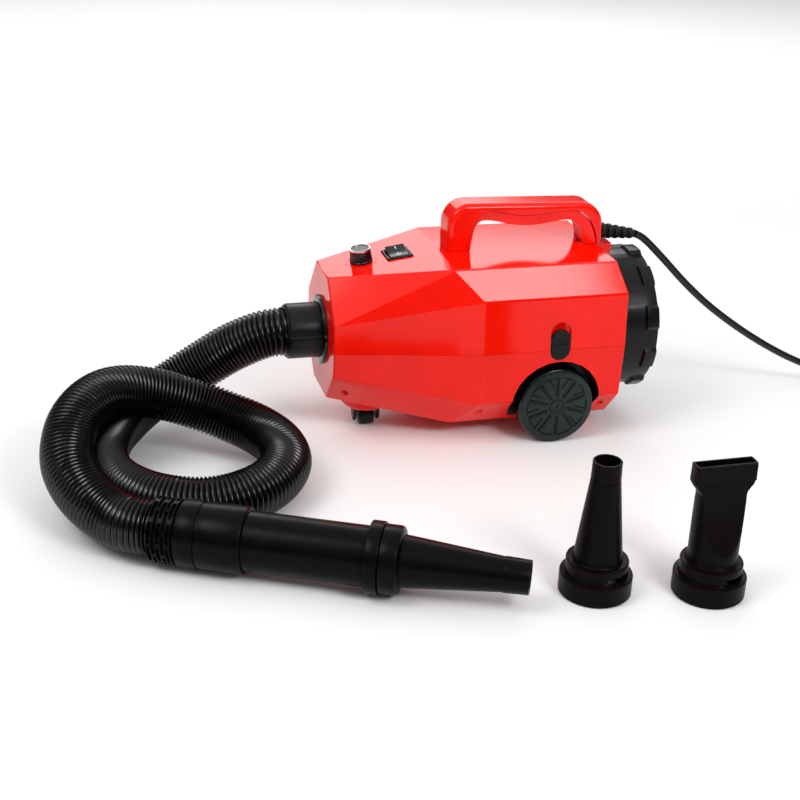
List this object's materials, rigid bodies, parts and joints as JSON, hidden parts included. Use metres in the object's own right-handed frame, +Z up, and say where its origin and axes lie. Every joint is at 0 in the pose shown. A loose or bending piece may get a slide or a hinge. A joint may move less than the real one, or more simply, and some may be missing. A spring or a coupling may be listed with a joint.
{
  "type": "pet dryer",
  "caption": "Wheeled blower for drying animals, with a carry handle, corrugated hose, wand, spare nozzles and a mains lead.",
  "frame": {"origin": "centre of the bounding box of the machine, wand and nozzles, at floor level, with the free hose and mains lead left out", "axes": "+Z up; -X is the machine's nose, where the hose leaves; +X its rear, where the lead leaves"},
  "size_m": [1.1009, 0.5545, 0.2485],
  "materials": {
    "red_plastic": "glossy moulded",
    "black_plastic": "satin moulded",
    "wheel_plastic": "satin moulded",
    "rubber": "matte",
    "hose_plastic": "satin, corrugated",
    "steel": "bare sheet and bar",
    "chrome": "bright plated",
    "copper": "wound copper wire",
    "carbon": "carbon",
    "filter_foam": "open-cell foam",
    "grey_plastic": "satin moulded",
    "circuit_board": "lacquered"
  },
  "bodies": {
    "housing": {"upper_shell": "red_plastic", "lower_shell": "red_plastic", "handle_shell": "red_plastic", "handle_grip": "red_plastic", "switch_bezel": "black_plastic", "outlet_collar": "black_plastic", "outlet_duct": "black_plastic", "hose_end_sleeve": "black_plastic", "wand_collar": "black_plastic", "wand_tube": "black_plastic", "mains_plug": "black_plastic", "motor_mount_front": "rubber", "motor_mount_rear": "rubber", "strain_relief": "rubber", "power_cord": "rubber", "cord_coil": "rubber", "cord_tail": "rubber", "hose": "hose_plastic", "screw_front_near": "steel", "screw_middle_near": "steel", "screw_rear_near": "steel", "screw_front_far": "steel", "screw_middle_far": "steel", "screw_rear_far": "steel", "fan_case": "steel", "diffuser_plate": "steel", "motor_frame": "steel", "bearing_front": "steel", "bearing_rear": "steel", "rear_axle": "steel", "speed_potentiometer": "chrome", "stator": "copper", "brush_near": "carbon", "brush_far": "carbon", "filter_seat": "grey_plastic", "control_board": "circuit_board"},
    "rocker": {"switch_rocker": "black_plastic"},
    "knob": {"speed_knob": "black_plastic", "knob_rim": "chrome"},
    "near_wheel": {"wheel_near": "wheel_plastic", "tyre_near": "rubber"},
    "far_wheel": {"wheel_far": "wheel_plastic", "tyre_far": "rubber"},
    "caster": {"caster_fork": "black_plastic", "caster_pin": "steel"},
    "caster_roller": {"caster_wheel": "black_plastic"},
    "near_latch": {"side_latch_near": "black_plastic"},
    "far_latch": {"side_latch_far": "black_plastic"},
    "cover": {"rear_cover": "black_plastic", "intake_grille": "black_plastic", "filter_foam": "filter_foam"},
    "cuff": {"hose_cuff": "black_plastic"},
    "nozzle": {"wand_nozzle": "black_plastic"},
    "lock_ring": {"nozzle_lock_ring": "black_plastic"},
    "round_spare": {"cone_nozzle": "black_plastic"},
    "flat_spare": {"flat_nozzle": "black_plastic"},
    "armature": {"rotor": "copper", "impeller_first_stage": "steel", "impeller_second_stage": "steel"}
  },
  "joints": [
    {"name": "switch_rock", "type": "hinge", "parent": "housing", "child": "rocker", "pos_m": [0.01351, 0.1739, 0.19127], "axis": [-0.9908, 0, -0.1353], "range_deg": [0, 24]},
    {"name": "knob_turn", "type": "hinge", "parent": "housing", "child": "knob", "pos_m": [-0.02626, 0.1709, 0.18634], "axis": [0.1353, 0, -0.9908], "range_deg": [0, 280]},
    {"name": "near_wheel_spin", "type": "hinge", "parent": "housing", "child": "near_wheel", "pos_m": [0.17194, 0.0909, 0.0425], "axis": [0, 1, 0], "continuous": true},
    {"name": "far_wheel_spin", "type": "hinge", "parent": "housing", "child": "far_wheel", "pos_m": [0.17194, 0.2509, 0.0425], "axis": [0, 1, 0], "continuous": true},
    {"name": "caster_swivel", "type": "hinge", "parent": "housing", "child": "caster", "pos_m": [-0.01786, 0.1709, 0.0225], "axis": [0, 0, 1], "continuous": true},
    {"name": "caster_roll", "type": "hinge", "parent": "caster", "child": "caster_roller", "pos_m": [-0.01786, 0.1669, 0.0095], "axis": [1, 0, 0], "continuous": true},
    {"name": "near_latch_slide", "type": "slide", "parent": "housing", "child": "near_latch", "axis": [0, 0, 1], "range_m": [0, 0.008]},
    {"name": "far_latch_slide", "type": "slide", "parent": "housing", "child": "far_latch", "axis": [0, 0, 1], "range_m": [0, 0.008]},
    {"name": "cover_twist", "type": "hinge", "parent": "housing", "child": "cover", "pos_m": [0.27094, 0.1709, 0.107], "axis": [1, 0, 0], "range_deg": [0, 20]},
    {"name": "hose_cuff_twist", "type": "hinge", "parent": "housing", "child": "cuff", "pos_m": [-0.08906, 0.1709, 0.113], "axis": [1, 0, 0], "range_deg": [0, 30]},
    {"name": "nozzle_pull", "type": "slide", "parent": "housing", "child": "nozzle", "axis": [0.898, -0.4399, 0], "range_m": [0, 0.05]},
    {"name": "lock_ring_twist", "type": "hinge", "parent": "nozzle", "child": "lock_ring", "pos_m": [-0.09366, -0.17119, 0.033], "axis": [0.898, -0.4399, 0], "range_deg": [0, 30]},
    {"name": "round_nozzle_lift", "type": "slide", "parent": "housing", "child": "round_spare", "axis": [0, 0, 1], "range_m": [0, 0.1]},
    {"name": "flat_nozzle_lift", "type": "slide", "parent": "housing", "child": "flat_spare", "axis": [0, 0, 1], "range_m": [0, 0.1]},
    {"name": "motor_spin", "type": "hinge", "parent": "housing", "child": "armature", "pos_m": [0.13094, 0.1709, 0.113], "axis": [1, 0, 0], "continuous": true}
  ]
}
